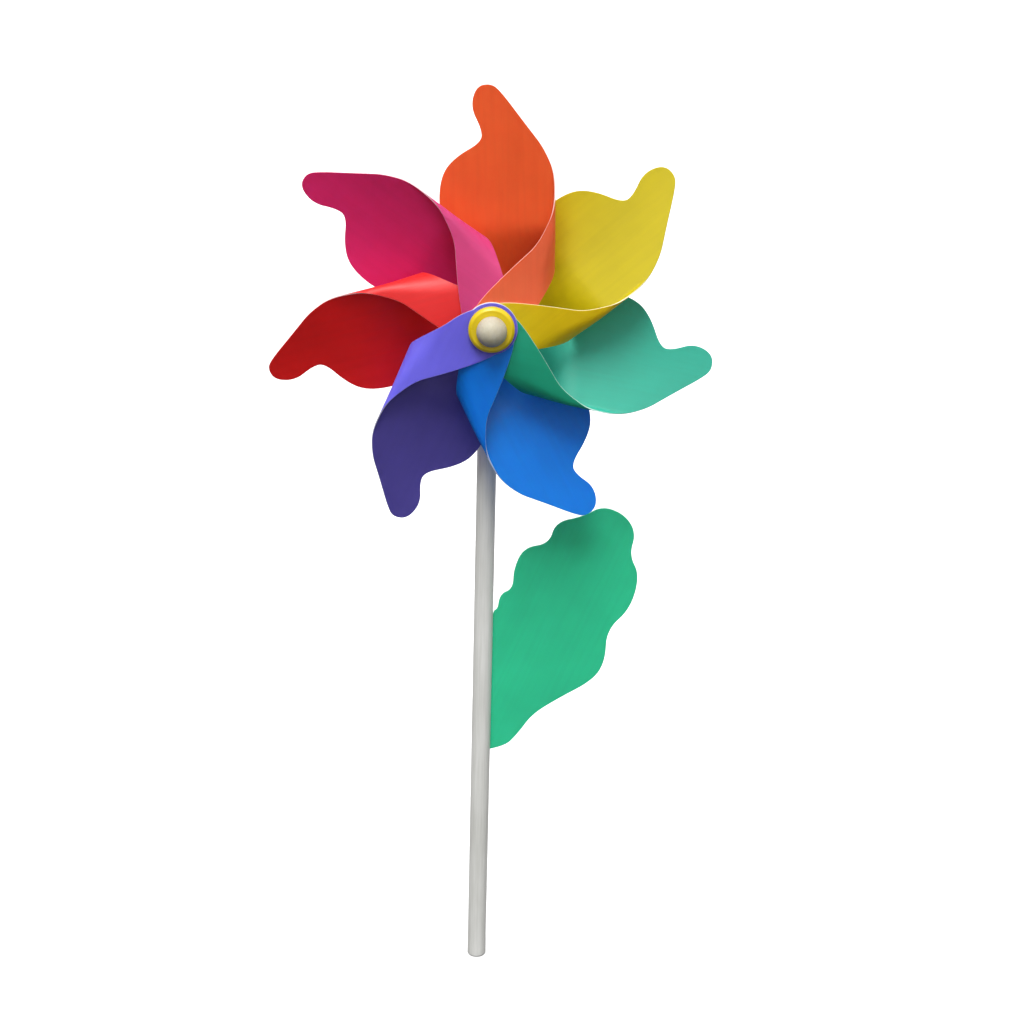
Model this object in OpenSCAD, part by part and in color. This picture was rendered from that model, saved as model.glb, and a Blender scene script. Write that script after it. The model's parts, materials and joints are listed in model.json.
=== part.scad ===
// Pinwheel: seven curled plastic blades that turn on a wooden stick with a leaf.
// Millimetres. The stick stands along +Z with its foot at the origin, and the wheel
// faces -Y.

/* [Stick] */
// Diameter of the stick
stick_d = 10; // [9:0.5:12]
// Length of the stick
stick_len = 378; // [360:2:420]
// Height of the wheel's centre above the stick's foot
hub_z = 366; // [350:2:366]

/* [Axle and hub] */
// Diameter of the axle
axle_d = 5; // [4:0.5:5]
// Outer diameter of the sleeve that carries the blades
sleeve_d = 8; // [8:0.5:9]
// Diameter of the two washers
washer_d = 22; // [20:1:24]
// Thickness of the front washer
front_washer_t = 4; // [3:0.5:5]
// Thickness of the rear washer
rear_washer_t = 3; // [2:0.5:4]
// Diameter of the ball cap on the end of the axle
cap_d = 14.4; // [13:0.2:16]

/* [Blades] */
// Turn of the wheel at rest, in degrees, clockwise seen from the front
wheel_turn = -2; // [-25:0.5:25]
// Thickness of the plastic sheet
sheet_t = 0.5; // [0.4:0.1:0.5]
// Step from one blade's tabs to the next along the axle
tab_pitch = 0.6; // [0.6:0.05:0.8]
// Radius of the curl
curl_r = 14; // [13.5:0.25:14.5]
// Distance from the axle's line to the start of the curl
curl_x = 16.5; // [16:0.25:17]
// Radius of the round tab at the back of a blade
back_tab_r = 9; // [8:0.5:9.5]
// Radius of the round tab at the front of a blade
front_tab_r = 12.5; // [12:0.5:13.5]

/* [Leaf] */
// Thickness of the leaf
leaf_t = 0.8; // [0.6:0.1:1.2]
// Height of the leaf's lower corner above the stick's foot
leaf_z = 126; // [110:2:130]

/* [Hidden] */
$fn = 96;

blade_count = 7;
upright_blade = 2;         // the blade that stands up when the turn is 0, from the back
running_gap = 0.05;        // radial gap between the sleeve's bore and the axle
end_gap = 0.4;             // play between the wheel and the stick, and the wheel and the cap
stick_chamfer = 0.6;

// Places along the axle, measured forwards from the stick's centre line
sleeve_start = stick_d / 2 + end_gap;
back_tab_start = sleeve_start + rear_washer_t;
tab_stack = (blade_count - 1) * tab_pitch + sheet_t;
front_washer_start = back_tab_start + 2 * curl_r + tab_stack + tab_pitch - sheet_t;
sleeve_end = front_washer_start + front_washer_t;
cap_start = sleeve_end + end_gap;
cap_seat = 1.6;            // from the cap's flat back to the centre of its ball
cap_bore = 5;
axle_end = cap_start + cap_bore - 0.5;

// Cut shape of a flat blade. The first number runs along the strip from the back hole,
// round the curl, to the front hole. The second runs outwards along the curl's axis.
// These are the corners of the shape, and flat_curve() rounds them.
blade_corners = [
    // inner edge, from the back tab over the arch to the front tab
    [7, 5], [16, 16], [22, 28], [34, 28], [44, 22], [55, 10], [61, -1], [70, -9], [82, 0], [88, 7],
    // long outer edge
    [70, 26], [44, 44], [35, 78], [19, 95],
    // tip, neck and shoulder
    [9, 106], [3, 111], [-5, 110], [-8, 100], [-3, 90], [-3, 84], [-15, 77], [-22, 69],
    // edge that runs back under the next blade
    [-24, 56], [-22, 45], [-10, 40], [-2, 32], [0, 18], [-3, 5]];

// Cut shape of the leaf, outwards from the stick's centre line and up from its lower corner
leaf_corners = [
    // behind the floor of the slot, where it is cut off
    [-20, -3], [-20, 80],
    // upper lobes, from the stick to the top
    [7, 78], [8, 90], [15, 93], [15, 104], [20, 116], [33, 118], [36, 130], [50, 133], [60, 139],
    // free side, from the top down to the stick
    [72, 134], [78, 124], [75, 112], [81, 101], [77, 82], [65, 70], [65, 52], [59, 41],
    [40, 30], [27, 21], [20, 10], [12, 1]];
slot_depth_x = 1.5;        // from the stick's centre line to the floor of the leaf's slot
slot_len = 79;

curve_step = 2.2;          // longest chord on a rounded outline
strip_len = 2 * curl_x + PI * curl_r;
curl_z = curl_r + sheet_t / 2;
zone_angle = 45;           // the curl is cut flatwise up to here and edgewise beyond
past = 5;                  // how far a cutting solid reaches past what it cuts
far = 200;                 // longer than any blade or leaf

// Point on the curve that rounds corner b between corners a and c
function bend(a, b, c, t) =
    (1 - t) * (1 - t) * (a + b) / 2 + 2 * t * (1 - t) * b + t * t * (b + c) / 2;

// Closed curve through the middles of the edges of a list of corners
function flat_curve(p) = [
    for (i = [0 : len(p) - 1])
        let (a = p[(i + len(p) - 1) % len(p)], b = p[i], c = p[(i + 1) % len(p)])
        let (steps = max(2, ceil((norm(b - a) + norm(c - b)) / 2 / curve_step)))
        for (j = [0 : steps - 1]) bend(a, b, c, j / steps)];

// Angle round the curl at distance s along the strip
function curl_angle(s) = (s - curl_x) / curl_r * 180 / PI;

// Sideways place of a point of the strip, from the back flat into the curl.
// Past 60 degrees it goes on in a straight line, where no sheet is left to cut.
function side_place(s) =
    let (a = curl_angle(s), stop = 60)
    a <= 0 ? s :
    a <= stop ? curl_x + curl_r * sin(a) :
    curl_x + curl_r * sin(stop) + (a - stop) * PI / 180 * curl_r * cos(stop);

// Forward place of a point of the strip on the curl, straight on outside 30 to 150 degrees
function depth_place(s) =
    let (a = curl_angle(s), start = 30, stop = 150)
    let (inside = max(start, min(stop, a)))
    curl_z - curl_r * cos(inside) + (a - inside) * PI / 180 * curl_r * sin(start);

module back_outline(outline) {
    polygon([for (p = outline) [side_place(p.x), p.y]]);
    circle(r = back_tab_r);
}

module front_outline(outline) {
    polygon([for (p = outline) [side_place(strip_len - p.x), p.y]]);
    circle(r = front_tab_r);
}

module edge_outline(outline) {
    polygon([for (p = outline) [p.y, depth_place(p.x)]]);
}

// Part of the curl's section between two angles
module curl_section(from, to) {
    reach = 3 * curl_r;
    translate([curl_x, curl_z])
        intersection() {
            difference() {
                circle(r = curl_r + sheet_t / 2);
                circle(r = curl_r - sheet_t / 2);
            }
            polygon([[0, 0], reach * [sin(from), -cos(from)],
                     reach * [sin((from + to) / 2), -cos((from + to) / 2)],
                     reach * [sin(to), -cos(to)]]);
        }
}

// Flat part of the section, at the back for depth 0
module flat_section(depth) {
    translate([curl_x - far, depth])
        square([far, sheet_t]);
}

// A section drawn sideways and forwards, carried both ways along the curl's axis
module along_axis() {
    rotate([90, 0, 0])
        linear_extrude(2 * far, center = true)
            children();
}

// One blade on its own: hole on the Z axis, back tab at z = 0, front tab towards +Z
module blade_shape() {
    outline = flat_curve(blade_corners);
    room = 2 * (curl_r + past);
    difference() {
        union() {
            intersection() {
                along_axis() {
                    flat_section(0);
                    curl_section(0, zone_angle);
                }
                translate([0, 0, -past])
                    linear_extrude(room) back_outline(outline);
            }
            intersection() {
                along_axis()
                    curl_section(zone_angle, 180 - zone_angle);
                translate([curl_x, 0, 0])
                    rotate([90, 0, 90])
                        linear_extrude(room) edge_outline(outline);
            }
            intersection() {
                along_axis() {
                    flat_section(2 * curl_r);
                    curl_section(180 - zone_angle, 180);
                }
                translate([0, 0, -past])
                    linear_extrude(room) front_outline(outline);
            }
        }
        translate([0, 0, -past])
            cylinder(h = room, d = sleeve_d);
    }
}

// The blade at place i on the sleeve, counted from the back
module blade(i) {
    translate([0, -back_tab_start - i * tab_pitch, hub_z])
        rotate([0, wheel_turn + (i - upright_blade) * 360 / blade_count, 0])
            rotate([90, 0, 0])
                blade_shape();
}

// Turned piece on the axle's line: its profile is drawn as radius and forward place
module on_axle() {
    translate([0, 0, hub_z])
        rotate([90, 0, 0])
            rotate_extrude()
                children();
}

// Thin plate of the leaf, with its straight edge on the floor of the slot
module leaf_plate() {
    translate([0, leaf_t / 2, leaf_z])
        rotate([90, 0, 0])
            linear_extrude(leaf_t)
                difference() {
                    polygon(flat_curve(leaf_corners));
                    translate([slot_depth_x - far, -past])
                        square([far, far]);
                    translate([stick_d / 2 - far, -past])
                        square([far, past]);
                    translate([stick_d / 2 - far, slot_len])
                        square([far, far]);
                }
}

module stick() {
    r = stick_d / 2;
    c = stick_chamfer;
    color("#c9c9c4")
        difference() {
            rotate_extrude()
                polygon([[0, 0], [r - c, 0], [r, c], [r, stick_len - c],
                         [r - c, stick_len], [0, stick_len]]);
            translate([0, stick_d, hub_z])
                rotate([90, 0, 0])
                    cylinder(h = 2 * stick_d, d = axle_d);
            translate([slot_depth_x, -leaf_t / 2, leaf_z])
                cube([stick_d, leaf_t, slot_len]);
        }
}

module leaf() {
    color("#2fae88") leaf_plate();
}

module axle() {
    r = axle_d / 2;
    chamfer = 0.4;
    back = stick_d / 2;
    color("#d8b98a")
        on_axle()
            polygon([[0, -back], [r - chamfer, -back], [r, chamfer - back],
                     [r, axle_end - chamfer], [r - chamfer, axle_end], [0, axle_end]]);
}

module end_cap() {
    centre = cap_start + cap_seat;
    color("#cfc5b4")
        translate([0, 0, hub_z])
            rotate([90, 0, 0])
                difference() {
                    translate([0, 0, centre])
                        sphere(d = cap_d);
                    translate([0, 0, cap_start - cap_d])
                        cylinder(h = cap_d, d = 2 * cap_d);
                    translate([0, 0, cap_start - 1])
                        cylinder(h = cap_bore + 1, d = axle_d);
                }
}

// Collar with a raised flat face inside a bevelled rim, from a start towards the front
module washer(start, thickness, bevel) {
    r = washer_d / 2;
    edge = 0.4;
    on_axle()
        polygon([[sleeve_d / 2, start], [r - edge, start], [r, start + edge],
                 [r, start + thickness - bevel], [r - bevel, start + thickness],
                 [sleeve_d / 2, start + thickness]]);
}

module front_washer() {
    color("#e3c519") washer(front_washer_start, front_washer_t, 1.3);
}

module rear_washer() {
    color("#e3c519") washer(sleeve_start, rear_washer_t, 0.4);
}

module sleeve() {
    color("#e8e6de")
        translate([0, 0, hub_z])
            rotate([90, 0, 0])
                translate([0, 0, sleeve_start])
                    difference() {
                        cylinder(h = sleeve_end - sleeve_start, d = sleeve_d);
                        translate([0, 0, -1])
                            cylinder(h = sleeve_end - sleeve_start + 2,
                                     d = axle_d + 2 * running_gap);
                    }
}

module blade_red() {
    color("#b3160d") blade(0);
}

module blade_magenta() {
    color("#c0245c") blade(1);
}

module blade_orange() {
    color("#e2592f") blade(2);
}

module blade_yellow() {
    color("#d6bf1c") blade(3);
}

module blade_green() {
    color("#21987a") blade(4);
}

module blade_blue() {
    color("#1676d2") blade(5);
}

module blade_purple() {
    color("#4a3f9c") blade(6);
}

stick();
leaf();
axle();
end_cap();
front_washer();
rear_washer();
sleeve();
blade_red();
blade_magenta();
blade_orange();
blade_yellow();
blade_green();
blade_blue();
blade_purple();
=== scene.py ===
"""Pinwheel: the looks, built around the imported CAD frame. Metres, same frame as the CAD."""

import json
import math

import bmesh
import bpy
import numpy as np
from mathutils import Matrix, Vector
from mathutils.geometry import delaunay_2d_cdt


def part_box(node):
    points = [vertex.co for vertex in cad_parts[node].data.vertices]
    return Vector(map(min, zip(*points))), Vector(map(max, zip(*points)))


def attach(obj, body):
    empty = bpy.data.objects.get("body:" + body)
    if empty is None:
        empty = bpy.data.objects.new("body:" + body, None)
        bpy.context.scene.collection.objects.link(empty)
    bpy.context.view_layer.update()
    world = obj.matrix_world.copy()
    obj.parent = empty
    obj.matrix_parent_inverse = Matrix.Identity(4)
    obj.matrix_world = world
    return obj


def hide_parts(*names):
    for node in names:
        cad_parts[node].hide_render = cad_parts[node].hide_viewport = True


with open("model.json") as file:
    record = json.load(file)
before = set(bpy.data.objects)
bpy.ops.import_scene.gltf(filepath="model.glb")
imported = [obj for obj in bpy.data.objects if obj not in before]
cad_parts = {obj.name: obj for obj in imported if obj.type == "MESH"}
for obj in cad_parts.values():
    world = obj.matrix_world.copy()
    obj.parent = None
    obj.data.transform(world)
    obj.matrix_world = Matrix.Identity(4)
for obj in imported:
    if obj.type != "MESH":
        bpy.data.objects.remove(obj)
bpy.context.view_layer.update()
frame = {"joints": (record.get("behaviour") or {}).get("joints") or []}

MM = 0.001
HUB = Vector(frame["joints"][0]["pos_m"])

# ---------------------------------------------------------------- camera

CAMERA_PLACE = (-0.0195, -0.859, 0.557)
CAMERA_DOWN = math.radians(19)
CAMERA_TURN = math.radians(2.2)
CAMERA_ROLL = math.radians(1.5)
CAMERA_LENS = 62.4


def make_camera():
    """A camera in front of the wheel and a little above it, looking down."""
    data = bpy.data.cameras.new("camera")
    data.lens = CAMERA_LENS
    data.sensor_width = 36.0
    data.clip_start = 0.01
    data.clip_end = 1000.0
    camera = bpy.data.objects.new("camera", data)
    turn = Matrix.Rotation(-CAMERA_TURN, 3, "Z") @ Matrix.Rotation(-CAMERA_DOWN, 3, "X")
    lean = Matrix.Rotation(-CAMERA_ROLL, 3, "Y") @ Matrix.Rotation(math.pi / 2, 3, "X")
    camera.matrix_world = Matrix.Translation(CAMERA_PLACE) @ (turn @ lean).to_4x4()
    bpy.context.collection.objects.link(camera)
    bpy.context.scene.camera = camera


# ---------------------------------------------------------------- outlines

OUTLINE_STEP = 0.9      # longest chord on a sheet's outline, in mm
GRID_CLEARANCE = 0.55   # points inside a sheet keep this far from its outline, in mm


def bend(a, b, c, t):
    """Point on the curve that rounds corner b between corners a and c."""
    return (1 - t) ** 2 * (a + b) / 2 + 2 * t * (1 - t) * b + t * t * (b + c) / 2


def flat_curve(corners, step):
    """Closed curve through the middles of the edges of a list of corners."""
    p = np.array(corners, float)
    points = []
    for i in range(len(p)):
        a, b, c = p[i - 1], p[i], p[(i + 1) % len(p)]
        chords = (np.linalg.norm(b - a) + np.linalg.norm(c - b)) / 2 / step
        count = max(2, math.ceil(chords))
        points += [bend(a, b, c, j / count) for j in range(count)]
    return np.array(points)


def circle(centre, radius, step):
    """Points round a circle, anticlockwise."""
    count = math.ceil(2 * math.pi * radius / step)
    angle = 2 * math.pi * np.arange(count) / count
    return np.array(centre) + radius * np.c_[np.cos(angle), np.sin(angle)]


def anticlockwise(points):
    """The same closed outline, turned to run anticlockwise."""
    x, y = points.T
    area = np.sum(x * np.roll(y, -1) - y * np.roll(x, -1))
    return points if area > 0 else points[::-1]


def with_round_tab(outline, centre, radius, step):
    """An anticlockwise outline joined to the circle that one stretch of it ends in."""
    outside = np.linalg.norm(outline - centre, axis=1) > radius
    start = next(i for i in range(len(outside)) if outside[i] and not outside[i - 1])
    outline, outside = np.roll(outline, -start, 0), np.roll(outside, -start)
    kept = outline[: np.argmin(outside)] if not outside.all() else outline
    leave, meet = kept[-1] - centre, kept[0] - centre
    a0 = math.atan2(leave[1], leave[0])
    a1 = math.atan2(meet[1], meet[0])
    while a1 <= a0:
        a1 += 2 * math.pi
    count = math.ceil((a1 - a0) * radius / step)
    angle = np.linspace(a0, a1, count + 1)[1:-1]
    arc = np.array(centre) + radius * np.c_[np.cos(angle), np.sin(angle)]
    return np.vstack([kept, arc])


def inside(points, outline):
    """Which points lie inside a closed outline."""
    x, y = points.T
    hit = np.zeros(len(points), bool)
    for (x0, y0), (x1, y1) in zip(outline, np.roll(outline, -1, 0)):
        if y0 == y1:
            continue
        crosses = (y0 > y) != (y1 > y)
        hit ^= crosses & (x < (x1 - x0) * (y - y0) / (y1 - y0) + x0)
    return hit


def clearance(points, outline):
    """Distance from each point to the nearest point of an outline."""
    gap = points[:, None, :] - outline[None, :, :]
    return np.sqrt((gap**2).sum(2)).min(1)


def sheet_triangles(outline, holes, grid):
    """Fills a flat outline with holes. Returns the points, triangles and edge loops."""
    loops = [outline] + holes
    points = np.vstack(loops)
    keep = inside(grid, outline) & (clearance(grid, points) > GRID_CLEARANCE)
    for hole in holes:
        keep &= ~inside(grid, hole)
    ids, edges, start = [], [], 0
    for loop in loops:
        ring = list(range(start, start + len(loop)))
        ids.append(ring)
        edges += list(zip(ring, ring[1:] + ring[:1]))
        start += len(loop)
    points = np.vstack([points, grid[keep]])
    verts = [Vector(p) for p in points]
    done = delaunay_2d_cdt(verts, edges, [], 0, 1e-7)
    flat, faces = np.array([tuple(v) for v in done[0]]), np.array(done[2])
    middle = flat[faces].mean(1)
    good = inside(middle, outline)
    for hole in holes:
        good &= ~inside(middle, hole)
    return flat, faces[good], ids


def with_normals(surface):
    """From a bent surface, a function that returns its points and its normals."""
    tiny = 0.01

    def place(points):
        along = surface(points + (tiny, 0)) - surface(points - (tiny, 0))
        out = surface(points + (0, tiny)) - surface(points - (0, tiny))
        normal = np.cross(along, out)
        normal /= np.linalg.norm(normal, axis=1)[:, None]
        return surface(points), normal

    return place


def sheet_mesh(name, flat, faces, loops, place, thickness, rim):
    """A sheet with real thickness: two skins and a rounded rim round every edge loop.

    place(points) returns the middle surface and its normals. The side that the normals
    point to takes the first material, the other side the second and the rim the third."""
    middle, normal = place(flat)
    inward = np.zeros_like(flat)
    for number, loop in enumerate(loops):
        ring = flat[loop]
        along = np.roll(ring, -1, 0) - np.roll(ring, 1, 0)
        left = np.c_[-along[:, 1], along[:, 0]]
        left /= np.linalg.norm(left, axis=1)[:, None]
        inward[loop] = left if number == 0 else -left
    skin, skin_normal = place(flat + inward * rim)
    count = len(flat)
    top = skin + skin_normal * thickness / 2
    bottom = skin - skin_normal * thickness / 2
    edge = [i for loop in loops for i in loop]
    crest = {i: 2 * count + n for n, i in enumerate(edge)}
    verts = np.vstack([top, bottom, middle[edge]])
    polygons = [tuple(f) for f in faces] + [tuple(f[::-1] + count) for f in faces]
    skin, skins = len(faces), len(polygons)
    for number, loop in enumerate(loops):
        for a, b in zip(loop, loop[1:] + loop[:1]):
            a, b = (b, a) if number == 0 else (a, b)
            polygons.append((a, b, crest[b], crest[a]))
            polygons.append((crest[a], crest[b], b + count, a + count))
    mesh = bpy.data.meshes.new(name)
    mesh.from_pydata([tuple(v * MM) for v in verts], [], polygons)
    slots = [0] * skin + [1] * skin + [2] * (len(polygons) - skins)
    mesh.polygons.foreach_set("material_index", slots)
    mesh.polygons.foreach_set("use_smooth", [True] * len(polygons))
    mesh.update()
    tidy_sheet(mesh, skins)
    piece = bpy.data.objects.new(name, mesh)
    bpy.context.collection.objects.link(piece)
    return piece


def tidy_sheet(mesh, skins):
    """Turns every face outwards and makes the skins meet the rim in a sharp edge."""
    bm = bmesh.new()
    bm.from_mesh(mesh)
    bm.faces.ensure_lookup_table()
    bmesh.ops.recalc_face_normals(bm, faces=bm.faces)
    for edge in bm.edges:
        kinds = {face.index < skins for face in edge.link_faces}
        edge.smooth = len(kinds) == 1
    bm.to_mesh(mesh)
    bm.free()


# ---------------------------------------------------------------- blades

# Cut shape of a flat blade, as in the CAD: along the strip, and out along the curl's axis
BLADE_CORNERS = [
    (7, 5), (16, 16), (22, 28), (34, 28), (44, 22), (55, 10), (61, -1), (70, -9), (82, 0), (88, 7),
    (70, 26), (44, 44), (35, 78), (19, 95),
    (9, 106), (3, 111), (-5, 110), (-8, 100), (-3, 90), (-3, 84), (-15, 77), (-22, 69),
    (-24, 56), (-22, 45), (-10, 40), (-2, 32), (0, 18), (-3, 5),
]
BLADES = ["red", "magenta", "orange", "yellow", "green", "blue", "purple"]
UPRIGHT_BLADE = 2
WHEEL_TURN = -2.0       # how far the wheel stands turned at rest, in degrees
SHEET = 0.5
CURL_X = 16.5
CURL_R = 14.0
LOBE_X = -27.0          # where the blade's free side starts to rise
STRIP = 2 * CURL_X + math.pi * CURL_R
BACK_TAB = 9.0
FRONT_TAB = 12.5
TAB_HOLE = 4.0
CAMBER = math.radians(28)       # slope of the blade where it runs into the curl
CAMBER_POWER = 1.5              # how the blade's rise grows from its free side
CAMBER_FROM = 10.0              # the sheet is flat at the hub, past the edge of the back tabs
CAMBER_OVER = 38.0              # and fully cambered this much further out
TIP_RISE = 0.035                # how fast the blade comes forward beyond there
STRAP_LEAN = math.radians(10)   # slope of the front strap where it leaves the curl
CLAMPED = 12.0                  # the front washer holds the strap flat up to here
RIM = 0.09                      # rounding of a blade's cut edge


def ease(t):
    """Smooth step from 0 to 1."""
    t = np.clip(t, 0, 1)
    return t * t * (3 - 2 * t)


def blade_section(s, g):
    """Sideways and forward place of strip point s at distance g from the hub's line.

    The sheet rises ever more steeply from its free side, turns over in the curl, and its
    strap comes in to the hub in a parabola."""
    a = CAMBER * ease((g - CAMBER_FROM) / CAMBER_OVER) + 1e-6
    b = STRAP_LEAN
    flat_end = CLAMPED * (1 - ease(np.abs(g) / (2 * CLAMPED)))
    fold, depth = CURL_X + CURL_R, 2 * CURL_R
    reach = fold - LOBE_X
    room = depth - np.tan(a) * reach / CAMBER_POWER - np.tan(b) * (fold - flat_end) / 2
    gain = np.tan(a) * (1 - np.sin(a)) / CAMBER_POWER + np.tan(b) * (1 - np.sin(b)) / 2
    r = room / (np.cos(a) + np.cos(b) - gain)
    x0, x1 = fold - r * (1 - np.sin(a)), fold - r * (1 - np.sin(b))
    z0 = np.tan(a) * (x0 - LOBE_X) / CAMBER_POWER
    arc = r * (math.pi - a - b)
    u = np.where(s > 0, s * (x0 + arc + x1) / STRIP, s)
    turn = np.clip(a + (u - x0) / r, a, math.pi - b)
    rise = z0 * (np.clip(u - LOBE_X, 0, None) / (x0 - LOBE_X)) ** CAMBER_POWER
    back = x1 - (u - x0 - arc)
    fall = np.tan(b) / (2 * (x1 - flat_end)) * np.clip(back - flat_end, 0, None) ** 2
    x = np.where(u <= x0, u, fold - r + r * np.sin(turn))
    z = np.where(u <= x0, rise, z0 + r * (np.cos(a) - np.cos(turn)))
    on_strap = u >= x0 + arc
    forward = TIP_RISE * np.clip(g - CAMBER_FROM - CAMBER_OVER, 0, None)
    return np.where(on_strap, back, x), np.where(on_strap, depth - fall, z) + forward


def blade_angle(number):
    """How far blade `number` is turned from upright, clockwise seen from the front."""
    return math.radians(WHEEL_TURN + (number - UPRIGHT_BLADE) * 360 / len(BLADES))


def blade_place(number):
    """A function that puts flat blade points where blade `number` has them."""
    low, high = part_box("blade_" + BLADES[number])
    back = high[1] / MM
    angle = blade_angle(number)
    hub_z = HUB.z / MM

    def surface(points):
        s, g = points[:, 0], points[:, 1]
        x, z = blade_section(s, g)
        across = x * math.cos(angle) + g * math.sin(angle)
        up = g * math.cos(angle) - x * math.sin(angle)
        return np.c_[across, back - SHEET / 2 - z, up + hub_z]

    return with_normals(surface)


def blade_grid():
    """Points inside the flat blade, closer together round the curl."""
    s = np.r_[np.arange(-28, CURL_X, 2.0), np.arange(CURL_X, STRIP - CURL_X, 1.0)]
    s = np.r_[s, np.arange(STRIP - CURL_X, STRIP + 12, 2.0)]
    g = np.arange(-12, 114, 2.0)
    return np.array([(a, b + (i % 2)) for i, a in enumerate(s) for b in g])


def make_blades():
    step = OUTLINE_STEP
    outline = anticlockwise(flat_curve(BLADE_CORNERS, step))
    outline = with_round_tab(outline, (0, 0), BACK_TAB, step)
    outline = with_round_tab(outline, (STRIP, 0), FRONT_TAB, step)
    holes = [circle((x, 0), TAB_HOLE, step) for x in (0, STRIP)]
    flat, faces, loops = sheet_triangles(outline, holes, blade_grid())
    for number, name in enumerate(BLADES):
        place = blade_place(number)
        piece = sheet_mesh("sheet_" + name, flat, faces, loops, place, SHEET, RIM)
        angle = blade_angle(number)
        # the second colour is the same plastic with painted light and shade for the strap side
        front, back = BLADE_COLOURS_WITH_PAINTED_LIGHT_AND_SHADE[name]
        piece.data.materials.append(sheet_plastic(name, front, angle))
        piece.data.materials.append(sheet_plastic(name + "_back", back, angle))
        piece.data.materials.append(cut_edge_with_painted_highlight(name, front))
        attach(piece, "wheel")
        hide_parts("blade_" + name)


# ---------------------------------------------------------------- leaf

# Cut shape of the leaf, as in the CAD: out from the stick's centre line, and up
LEAF_CORNERS = [
    (-20, -3), (-20, 80),
    (7, 78), (8, 90), (15, 93), (15, 104), (20, 116), (33, 118), (36, 130), (50, 133), (60, 139),
    (72, 134), (78, 124), (75, 112), (81, 101), (77, 82), (65, 70), (65, 52), (59, 41),
    (40, 30), (27, 21), (20, 10), (12, 1),
]
SLOT_LEN = 79.0
LEAF_SHEET = 0.8
LEAF_RIM = 0.12         # rounding of the leaf's cut edge
LEAF_STRAIGHT = 6.0     # the leaf is straight from the slot to here
LEAF_SAG = 1.6          # how far the free side of the leaf leans back
LEAF_RIPPLE = 0.35      # height of the leaf's slow wave
LEAF_WAVE = 0.05        # radians of that wave per mm of height
LEAF_GRAIN = 0.4        # turn of the draw lines on the leaf, in radians


def make_leaf():
    """The leaf, straight in its slot and leaning back a little at its free side."""
    low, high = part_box("leaf")
    foot = low[2] / MM
    reach = (high[0] - low[0]) / MM
    outline = anticlockwise(flat_curve(LEAF_CORNERS, OUTLINE_STEP))
    floor = low[0] / MM
    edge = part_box("stick")[1][0] / MM
    outline[:, 0] = np.maximum(outline[:, 0], floor)
    in_slot = outline[:, 0] < edge
    outline[in_slot, 1] = np.clip(outline[in_slot, 1], 0, SLOT_LEN)
    outline = outline[np.any(outline != np.roll(outline, 1, 0), axis=1)]
    grid = np.array([(x, z) for x in np.arange(3, 84, 2.5) for z in np.arange(0, 140, 2.5)])
    flat, faces, loops = sheet_triangles(outline, [], grid)

    def surface(points):
        t = np.clip((points[:, 0] - LEAF_STRAIGHT) / reach, 0, 1)
        ripple = LEAF_RIPPLE * np.sin(points[:, 1] * LEAF_WAVE) * t
        return np.c_[points[:, 0], LEAF_SAG * t * t + ripple, points[:, 1] + foot]

    place = with_normals(surface)
    piece = sheet_mesh("leaf_sheet", flat, faces, loops, place, LEAF_SHEET, LEAF_RIM)
    plastic = sheet_plastic("leaf", LEAF_COLOUR, LEAF_GRAIN)
    piece.data.materials.append(plastic)
    piece.data.materials.append(plastic)
    piece.data.materials.append(cut_edge_with_painted_highlight("leaf", LEAF_COLOUR))
    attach(piece, "stem")
    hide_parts("leaf")


# ---------------------------------------------------------------- turned pieces

RUNNING_GAP = 0.05      # radial gap between the sleeve's bore and the axle, in mm
CAP_BORE = 5.0          # depth of the hole in the cap, in mm
WASHER_BEVEL = 1.3      # width of the front washer's bevelled rim, in mm
SHARP = math.radians(35)        # edges sharper than this keep a crease


def rounded_profile(corners):
    """Open profile in mm. Each corner is (radius, place, rounding)."""
    points = []
    for i, (r, y, rounding) in enumerate(corners):
        here = np.array([r, y], float)
        if not rounding or i in (0, len(corners) - 1):
            points.append(here)
            continue
        before = np.array(corners[i - 1][:2], float) - here
        after = np.array(corners[i + 1][:2], float) - here
        a = here + before / np.linalg.norm(before) * rounding
        c = here + after / np.linalg.norm(after) * rounding
        for t in np.linspace(0, 1, 7):
            points.append((1 - t) ** 2 * a + 2 * t * (1 - t) * here + t * t * c)
    return points


def turned(name, profile, axis, origin, segments=96):
    """A turned piece. profile holds (radius, place along the axis) from one end to the other."""
    bm = bmesh.new()
    rings = []
    for r, y in profile:
        if r < 1e-6:
            rings.append([bm.verts.new((0, 0, y * MM))])
            continue
        ring = []
        for j in range(segments):
            a = 2 * math.pi * j / segments
            ring.append(bm.verts.new((r * MM * math.cos(a), r * MM * math.sin(a), y * MM)))
        rings.append(ring)
    for lower, upper in zip(rings, rings[1:]):
        for j in range(segments):
            k = (j + 1) % segments
            if len(lower) == 1:
                bm.faces.new((lower[0], upper[k], upper[j]))
            elif len(upper) == 1:
                bm.faces.new((lower[j], lower[k], upper[0]))
            else:
                bm.faces.new((lower[j], lower[k], upper[k], upper[j]))
    if len(rings[0]) > 1 and np.allclose(profile[0], profile[-1]):
        bmesh.ops.remove_doubles(bm, verts=bm.verts, dist=1e-8)
    bmesh.ops.recalc_face_normals(bm, faces=bm.faces)
    mesh = bpy.data.meshes.new(name)
    turn = Vector((0, 0, 1)).rotation_difference(Vector(axis)).to_matrix().to_4x4()
    bm.transform(Matrix.Translation(origin) @ turn)
    bm.to_mesh(mesh)
    bm.free()
    mesh.polygons.foreach_set("use_smooth", [True] * len(mesh.polygons))
    mesh.set_sharp_from_angle(angle=SHARP)
    piece = bpy.data.objects.new(name, mesh)
    bpy.context.collection.objects.link(piece)
    return piece


def finish_piece(piece, material, body, node):
    piece.data.materials.append(material)
    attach(piece, body)
    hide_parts(node)


def span(node):
    """Where a piece on the axle starts and ends, forwards from the stick's centre line, in mm."""
    low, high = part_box(node)
    return -high[1] / MM, -low[1] / MM


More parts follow.
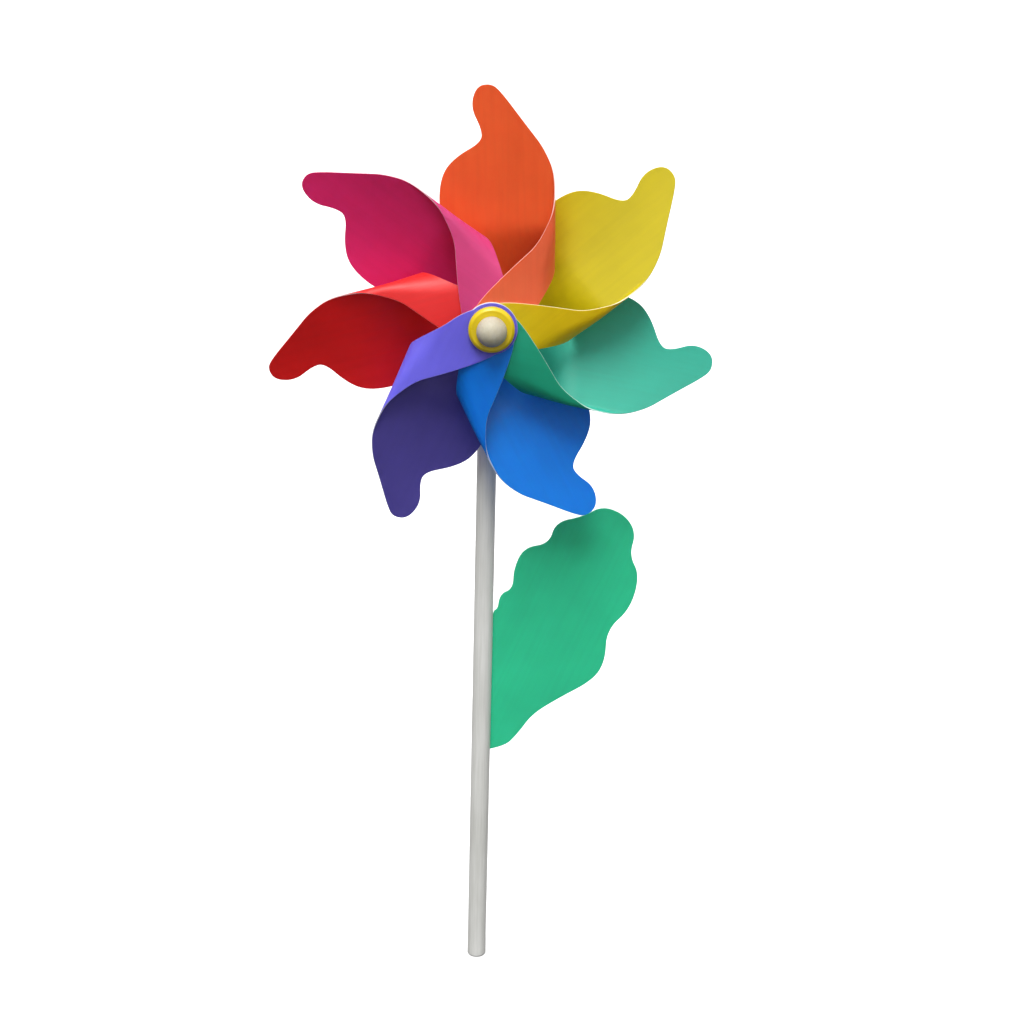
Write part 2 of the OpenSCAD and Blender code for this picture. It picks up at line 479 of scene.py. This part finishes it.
def radius(node):
    low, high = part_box(node)
    return (high[0] - low[0]) / 2 / MM


def make_washers():
    yellow = washer_plastic()
    bore = radius("sleeve")
    a, b = span("front_washer")
    r = radius("front_washer")
    bevel = WASHER_BEVEL
    # a flat face with a shallow turned groove round the cap, inside a bright bevelled rim
    profile = rounded_profile([
        (bore, a, 0), (r - 0.4, a, 0.2), (r, a + 0.5, 0.25), (r, b - bevel, 0.5),
        (r - bevel, b, 0.45), (r - 2.4, b - 0.12, 0.3), (bore + 0.3, b - 0.12, 0.15),
        (bore, b - 0.4, 0), (bore, a, 0)])
    piece = turned("yellow_washer", profile, (0, -1, 0), (0, 0, HUB.z))
    finish_piece(piece, yellow, "wheel", "front_washer")
    a, b = span("rear_washer")
    profile = rounded_profile([
        (bore, a, 0), (r - 0.4, a, 0.3), (r, a + 0.4, 0.3), (r, b - 0.4, 0.3),
        (r - 0.4, b, 0.3), (bore, b, 0), (bore, a, 0)])
    piece = turned("back_washer", profile, (0, -1, 0), (0, 0, HUB.z))
    finish_piece(piece, yellow, "wheel", "rear_washer")


def make_hub():
    a, b = span("sleeve")
    outer, bore = radius("sleeve"), radius("axle") + RUNNING_GAP
    profile = rounded_profile([
        (bore, a, 0), (bore + 0.2, a, 0.1), (outer - 0.2, a, 0.15), (outer, a + 0.2, 0.15),
        (outer, b - 0.2, 0.15), (outer - 0.2, b, 0.15), (bore, b, 0), (bore, a, 0)])
    piece = turned("spacer_tube", profile, (0, -1, 0), (0, 0, HUB.z))
    finish_piece(piece, tube_plastic(), "wheel", "sleeve")

    a, b = span("axle")
    r = radius("axle")
    profile = rounded_profile([
        (0, a, 0), (r - 0.4, a, 0.25), (r, a + 0.4, 0.3), (r, b - 0.4, 0.3),
        (r - 0.4, b, 0.2), (0, b, 0)])
    piece = turned("axle_dowel", profile, (0, -1, 0), (0, 0, HUB.z))
    finish_piece(piece, bare_wood("axle_wood", 1.0), "stem", "axle")

    a, b = span("end_cap")
    ball = radius("end_cap")
    centre = b - ball
    rim = math.sqrt(ball**2 - (centre - a) ** 2)
    hole, depth = radius("axle"), CAP_BORE
    turns = np.linspace(-math.asin((centre - a) / ball), math.pi / 2, 40)
    dome = [(ball * math.cos(t), centre + ball * math.sin(t)) for t in turns[1:]]
    dome[-1] = (0.0, b)
    profile = [(0.0, a + depth), (hole, a + depth), (hole, a), (rim - 0.25, a),
               (rim - 0.05, a + 0.08)] + [(r, y) for r, y in dome]
    piece = turned("ball_cap", profile, (0, -1, 0), (0, 0, HUB.z))
    finish_piece(piece, bare_wood("cap_wood", 0.0), "stem", "end_cap")


def cut(piece, tool):
    """Cuts one mesh out of another and applies the result."""
    boolean = piece.modifiers.new("cut", "BOOLEAN")
    boolean.object = tool
    boolean.operation = "DIFFERENCE"
    boolean.solver = "EXACT"
    graph = bpy.context.evaluated_depsgraph_get()
    mesh = bpy.data.meshes.new_from_object(piece.evaluated_get(graph))
    piece.modifiers.clear()
    old = piece.data
    piece.data = mesh
    bpy.data.meshes.remove(old)
    bpy.data.objects.remove(tool)


def make_stick():
    """The dowel, drilled for the axle and slotted for the leaf, with softened ends."""
    low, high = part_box("stick")
    r, top = (high[0] - low[0]) / 2 / MM, high[2] / MM
    # a turned dowel is never dead straight in its diameter
    dip, wave = 0.03, 0.13
    rings = [(r - dip * (1 + math.sin(wave * z)) / 2, z) for z in np.linspace(6, top - 6, 60)]
    profile = rounded_profile([(0, 0, 0), (r - 0.6, 0, 0.35), (r, 0.7, 0.4), (r, 5, 0)])
    profile += rings
    profile += rounded_profile([
        (r, top - 5, 0), (r, top - 0.7, 0.4), (r - 0.6, top, 0.35), (0, top, 0)])
    piece = turned("dowel_stick", profile, (0, 0, 1), (0, 0, 0), 72)
    drill_r = radius("axle") * MM
    bpy.ops.mesh.primitive_cylinder_add(
        vertices=64, radius=drill_r, depth=0.03, location=(0, 0, HUB.z),
        rotation=(math.pi / 2, 0, 0))
    cut(piece, bpy.context.object)
    leaf_low, leaf_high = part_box("leaf")
    slot_top = leaf_low[2] + SLOT_LEN * MM
    middle = ((leaf_low[0] + 0.01) / 2 + 0.003, 0, (leaf_low[2] + slot_top) / 2)
    bpy.ops.mesh.primitive_cube_add(size=1, location=middle)
    tool = bpy.context.object
    tool.scale = (2 * (middle[0] - leaf_low[0]), LEAF_SHEET * MM, slot_top - leaf_low[2])
    bpy.context.view_layer.update()
    cut(piece, tool)
    piece.data.polygons.foreach_set("use_smooth", [True] * len(piece.data.polygons))
    piece.data.set_sharp_from_angle(angle=SHARP)
    finish_piece(piece, stick_paint(), "stem", "stick")


# ---------------------------------------------------------------- materials

# Each sheet's two faces: the one that the petal shows, and the one that the strap shows. The sheet
# is the same plastic through; the strap colour is painted lighter or darker than the petal colour
# as painted light and shade for how the light falls on the strap
BLADE_COLOURS_WITH_PAINTED_LIGHT_AND_SHADE = {
    "red": ((0.70, 0.01, 0.01), (0.72, 0.02, 0.02)),
    "magenta": ((0.68, 0.02, 0.17), (0.60, 0.05, 0.20)),
    "orange": ((0.76, 0.11, 0.02), (0.80, 0.14, 0.05)),
    "yellow": ((0.52, 0.43, 0.00), (0.66, 0.48, 0.00)),
    "green": ((0.02, 0.36, 0.26), (0.01, 0.34, 0.20)),
    "blue": ((0.00, 0.19, 0.66), (0.00, 0.19, 0.72)),
    "purple": ((0.09, 0.07, 0.34), (0.15, 0.13, 0.72)),
}
LEAF_COLOUR = (0.03, 0.55, 0.30)


class Nodes:
    """Short way to build one material's node tree."""

    def __init__(self, name):
        self.material = bpy.data.materials.new(name)
        self.material.use_nodes = True
        self.tree = self.material.node_tree
        self.shader = self.tree.nodes["Principled BSDF"]

    def add(self, kind, **values):
        node = self.tree.nodes.new("ShaderNode" + kind)
        for key, value in values.items():
            if hasattr(node, key):
                setattr(node, key, value)
            else:
                node.inputs[key.replace("_", " ")].default_value = value
        return node

    def link(self, source, target):
        self.tree.links.new(source, target)

    def place(self, scale=(1, 1, 1), turn=0.0):
        """Object coordinates, turned about the wheel's axis and then scaled."""
        coordinates = self.add("TexCoord")
        turned = self.add("Mapping")
        turned.inputs["Rotation"].default_value = (0, -turn, 0)
        scaled = self.add("Mapping")
        scaled.inputs["Scale"].default_value = scale
        self.link(coordinates.outputs["Object"], turned.inputs["Vector"])
        self.link(turned.outputs["Vector"], scaled.inputs["Vector"])
        return scaled.outputs["Vector"]

    def noise(self, vector, scale, detail=2.0, roughness=0.5):
        node = self.add("TexNoise")
        node.inputs["Scale"].default_value = scale
        node.inputs["Detail"].default_value = detail
        node.inputs["Roughness"].default_value = roughness
        self.link(vector, node.inputs["Vector"])
        return node.outputs["Fac"]

    def ramp(self, factor, low, high, start=0.3, stop=0.7):
        """A colour or grey value that runs from low to high as the factor does."""
        node = self.add("ValToRGB")
        first, last = node.color_ramp.elements
        first.position, last.position = start, stop
        first.color, last.color = (*low, 1), (*high, 1)
        self.link(factor, node.inputs["Fac"])
        return node.outputs["Color"]

    def spread(self, factor, low, high, start=0.3, stop=0.7):
        """The factor's range start to stop, spread over low to high."""
        node = self.add("MapRange")
        node.inputs["From Min"].default_value = start
        node.inputs["From Max"].default_value = stop
        node.inputs["To Min"].default_value = low
        node.inputs["To Max"].default_value = high
        self.link(factor, node.inputs["Value"])
        return node.outputs["Result"]

    def times(self, colour, other):
        """One colour multiplied by another."""
        node = self.add("Mix", data_type="RGBA", blend_type="MULTIPLY")
        node.inputs["Factor"].default_value = 1.0
        self.link(colour, node.inputs[6])
        self.link(other, node.inputs[7])
        return node.outputs[2]

    def bumps(self, heights, distances):
        """Chains bump nodes, one for each height, and feeds the shader's normal."""
        last = None
        for height, distance in zip(heights, distances):
            node = self.add("Bump")
            node.inputs["Strength"].default_value = 1.0
            node.inputs["Distance"].default_value = distance
            self.link(height, node.inputs["Height"])
            if last:
                self.link(last, node.inputs["Normal"])
            last = node.outputs["Normal"]
        self.link(last, self.shader.inputs["Normal"])


def shade(colour, by):
    return tuple(min(1.0, max(0.0, c * by)) for c in colour)


def lighter(colour, by):
    return tuple(c + (1 - c) * by for c in colour)


def sheet_plastic(name, colour, angle):
    """Satin polypropylene sheet: cloudy tone, faint draw lines and a fine pebble."""
    n = Nodes("plastic_" + name)
    cloud = n.noise(n.place((1, 1, 1), angle), 26, 4, 0.55)
    lines = n.noise(n.place((1, 1, 0.03), angle), 420, 3, 0.6)
    pebble = n.noise(n.place(), 2400, 2)
    tone = n.ramp(cloud, shade(colour, 0.93), shade(colour, 1.06))
    drawn = n.ramp(lines, (0.955, 0.955, 0.955), (1, 1, 1), 0.35, 0.6)
    n.link(n.times(tone, drawn), n.shader.inputs["Base Color"])
    n.link(n.spread(lines, 0.42, 0.54), n.shader.inputs["Roughness"])
    n.bumps([cloud, lines, pebble], [0.0004, 0.00003, 0.00001])
    n.shader.inputs["Specular IOR Level"].default_value = 0.4
    # the thin sheet lets some light through
    n.shader.inputs["Subsurface Weight"].default_value = 0.8
    n.shader.inputs["Subsurface Radius"].default_value = (1.0, 1.0, 1.0)
    n.shader.inputs["Subsurface Scale"].default_value = 0.0012
    return n.material


def cut_edge_with_painted_highlight(name, colour):
    """The die-cut edge, rougher than the face; its colour is lightened towards white as a painted
    highlight along the edge.
    """
    n = Nodes("edge_" + name)
    vector = n.place()
    ticks = n.noise(vector, 900, 2)
    # pale: the face colour lightened halfway to white, a painted highlight along the cut edge
    pale = lighter(colour, 0.5)
    n.link(n.ramp(ticks, shade(pale, 0.92), shade(pale, 1.06)), n.shader.inputs["Base Color"])
    n.shader.inputs["Roughness"].default_value = 0.5
    n.bumps([ticks], [0.00003])
    return n.material


def washer_plastic():
    """Moulded yellow plastic with a soft shine and a faint fine grain."""
    n = Nodes("washer_yellow")
    vector = n.place()
    cloud = n.noise(vector, 160, 3)
    colour = (0.68, 0.50, 0.004)
    n.link(n.ramp(cloud, shade(colour, 0.94), shade(colour, 1.06)), n.shader.inputs["Base Color"])
    n.link(n.spread(cloud, 0.26, 0.36), n.shader.inputs["Roughness"])
    grain = n.noise(vector, 3200, 2)
    n.bumps([grain], [0.000012])
    return n.material


def tube_plastic():
    """Milky plastic tube with fine lengthwise draw lines."""
    n = Nodes("sleeve_plastic")
    vector = n.place((1, 0.05, 1))
    lines = n.noise(vector, 1400, 2)
    n.link(n.ramp(lines, (0.66, 0.65, 0.60), (0.76, 0.75, 0.70)), n.shader.inputs["Base Color"])
    n.shader.inputs["Roughness"].default_value = 0.42
    n.bumps([lines], [0.00002])
    return n.material


def bare_wood(name, warmth):
    """Sanded pale wood, its grain along the axle."""
    n = Nodes(name)
    along = n.place((1, 0.10, 1))
    fibres = n.noise(along, 1500, 4, 0.6)
    figure = n.noise(n.place((1, 0.25, 1)), 190, 3)
    pale = (0.50 + 0.12 * warmth, 0.47 + 0.06 * warmth, 0.37 + 0.01 * warmth)
    deep = (0.42 + 0.08 * warmth, 0.38, 0.28 - 0.04 * warmth)
    base = n.ramp(figure, deep, pale, 0.25, 0.62)
    fine = n.ramp(fibres, (0.90, 0.89, 0.87), (1.0, 1.0, 1.0), 0.3, 0.6)
    n.link(n.times(base, fine), n.shader.inputs["Base Color"])
    n.link(n.spread(fibres, 0.5, 0.62), n.shader.inputs["Roughness"])
    n.bumps([fibres], [0.00004])
    n.shader.inputs["Subsurface Weight"].default_value = 0.5
    n.shader.inputs["Subsurface Radius"].default_value = (1.0, 0.8, 0.5)
    n.shader.inputs["Subsurface Scale"].default_value = 0.004
    return n.material


def stick_paint():
    """Thin matt grey-white paint over a wooden dowel: the grain shows through it."""
    n = Nodes("stick_paint")
    grain = n.noise(n.place((1, 1, 0.035)), 1100, 4, 0.6)
    cloud = n.noise(n.place((1, 1, 0.3)), 60, 3)
    base = n.ramp(cloud, (0.60, 0.60, 0.57), (0.71, 0.71, 0.685))
    fine = n.ramp(grain, (0.90, 0.90, 0.89), (1.0, 1.0, 1.0), 0.32, 0.6)
    n.link(n.times(base, fine), n.shader.inputs["Base Color"])
    n.link(n.spread(grain, 0.48, 0.62), n.shader.inputs["Roughness"])
    n.bumps([grain], [0.00006])
    return n.material


# ---------------------------------------------------------------- stage


def soft_sun(name, azimuth, elevation, spread, power, colour=(1, 1, 1)):
    """Even light from one side. Azimuth runs from the viewer's side towards the right."""
    data = bpy.data.lights.new(name, "SUN")
    data.angle = math.radians(spread)
    data.energy = power
    data.color = colour
    light = bpy.data.objects.new(name, data)
    a, e = math.radians(azimuth), math.radians(elevation)
    towards = Vector((math.sin(a) * math.cos(e), -math.cos(a) * math.cos(e), math.sin(e)))
    light.rotation_euler = (-towards).to_track_quat("-Z", "Y").to_euler()
    bpy.context.collection.objects.link(light)


def make_floor():
    """Pale floor under the stick's foot, out to the horizon."""
    bpy.ops.mesh.primitive_plane_add(size=600, location=(0, 0, 0))
    floor = bpy.context.object
    floor.name = "floor"
    n = Nodes("floor_white")
    n.shader.inputs["Base Color"].default_value = (0.9, 0.9, 0.9, 1)
    n.shader.inputs["Roughness"].default_value = 0.9
    n.shader.inputs["Specular IOR Level"].default_value = 0.1
    floor.data.materials.append(n.material)
    floor.visible_diffuse = False
    floor.visible_glossy = False


def make_backdrop():
    """White studio surround that only the camera sees, so that it adds no light."""
    bpy.ops.mesh.primitive_uv_sphere_add(radius=280, segments=64, ring_count=32)
    dome = bpy.context.object
    dome.name = "backdrop"
    for ray in ("diffuse", "glossy", "transmission", "volume_scatter", "shadow"):
        setattr(dome, "visible_" + ray, False)
    n = Nodes("backdrop_white")
    n.shader.inputs["Base Color"].default_value = (0, 0, 0, 1)
    n.shader.inputs["Specular IOR Level"].default_value = 0.0
    n.shader.inputs["Emission Color"].default_value = (1, 1, 1, 1)
    n.shader.inputs["Emission Strength"].default_value = 1.0
    dome.data.materials.append(n.material)


def spread_in(tree, source, **values):
    """Map-range node for the sky: its four numbers are given by name."""
    node = tree.nodes.new("ShaderNodeMapRange")
    for key, value in values.items():
        node.inputs[key.replace("_", " ").title()].default_value = value
    tree.links.new(source, node.inputs["Value"])
    return node.outputs["Result"]


def make_sky():
    """Soft surround: bright overhead and behind the object, dim low on the viewer's side."""
    world = bpy.data.worlds.new("studio")
    world.use_nodes = True
    tree = world.node_tree
    background = tree.nodes["Background"]
    background.inputs["Color"].default_value = (1, 1, 1, 1)
    where = tree.nodes.new("ShaderNodeTexCoord")
    split = tree.nodes.new("ShaderNodeSeparateXYZ")
    tree.links.new(where.outputs["Generated"], split.inputs["Vector"])
    behind = spread_in(tree, split.outputs["Y"], from_min=0.35, from_max=0.8, to_min=0, to_max=1.1)
    above = spread_in(tree, split.outputs["Z"], from_min=-0.1, from_max=0.9, to_min=0.1, to_max=1.2)
    brighter = tree.nodes.new("ShaderNodeMath")
    brighter.operation = "MAXIMUM"
    tree.links.new(behind, brighter.inputs[0])
    tree.links.new(above, brighter.inputs[1])
    tree.links.new(brighter.outputs["Value"], background.inputs["Strength"])
    bpy.context.scene.world = world


def make_stage():
    make_floor()
    make_backdrop()
    make_sky()
    soft_sun("key", -16, 61, 32, 3.15)
    soft_sun("fill", 10, 14, 80, 0.4)
    bpy.context.scene.view_settings.view_transform = "Standard"


make_camera()
make_stage()
make_blades()
make_leaf()
make_washers()
make_hub()
make_stick()
